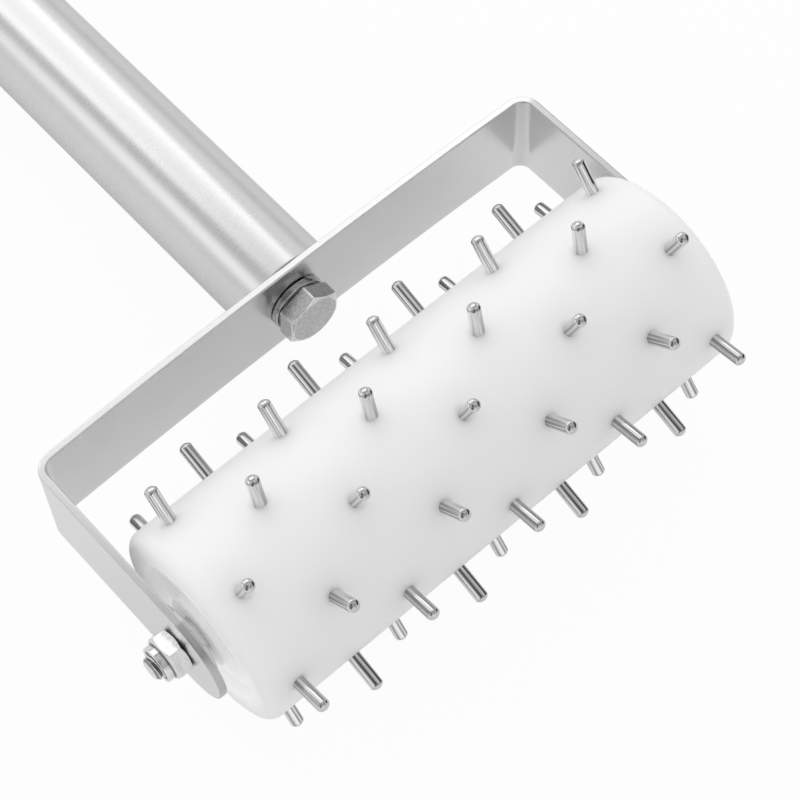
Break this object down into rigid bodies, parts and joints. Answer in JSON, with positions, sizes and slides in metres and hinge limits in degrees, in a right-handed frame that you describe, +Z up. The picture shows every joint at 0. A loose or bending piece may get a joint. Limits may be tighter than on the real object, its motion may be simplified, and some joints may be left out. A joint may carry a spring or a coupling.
{
  "type": "dough docker",
  "caption": "Hand roller with rows of steel pins that prick pastry and pizza dough; it spins on a bolt in a bent bar yoke with a tube handle.",
  "frame": {"origin": "on the table, at the middle of the docker's bounding box", "axes": "+X along the roller from the nut to the axle bolt's head, +Y towards the handle's end, +Z up from the table; the docker lies on two rows of pins and on the rim of the handle's cap"},
  "size_m": [0.1532, 0.24, 0.0631],
  "materials": {
    "roller": "smooth satin white plastic, slightly translucent",
    "pins": "polished stainless steel",
    "bar": "satin stainless flat bar, fine grain along the bar",
    "tube": "stainless tube, fine grain around the tube",
    "cap": "satin stainless pressing",
    "plug": "turned steel",
    "sleeve": "drawn steel tube",
    "washer": "pressed stainless steel",
    "zinc": "bright plated steel",
    "bolt": "cold headed stainless steel",
    "spring_washer": "spring steel, dull",
    "nylon": "translucent nylon"
  },
  "bodies": {
    "frame": {"yoke": "bar", "axle_bolt": "zinc", "axle_sleeve": "sleeve", "side_washer_left": "washer", "side_washer_right": "washer", "axle_nut": "zinc", "axle_nut_ring": "nylon", "handle_tube": "tube", "handle_plug": "plug", "handle_cap": "cap", "handle_bolt": "bolt", "spring_washer": "spring_washer"},
    "roller": {"roller_body": "roller", "pin_row_1": "pins", "pin_row_2": "pins", "pin_row_3": "pins", "pin_row_4": "pins", "pin_row_5": "pins", "pin_row_6": "pins", "pin_row_7": "pins", "pin_row_8": "pins", "pin_row_9": "pins", "pin_row_10": "pins", "pin_row_11": "pins", "pin_row_12": "pins"}
  },
  "joints": [
    {"name": "roller_spin", "type": "hinge", "parent": "frame", "child": "roller", "pos_m": [0.00258, -0.08848, 0.03155], "axis": [1, 0, 0], "continuous": true}
  ]
}
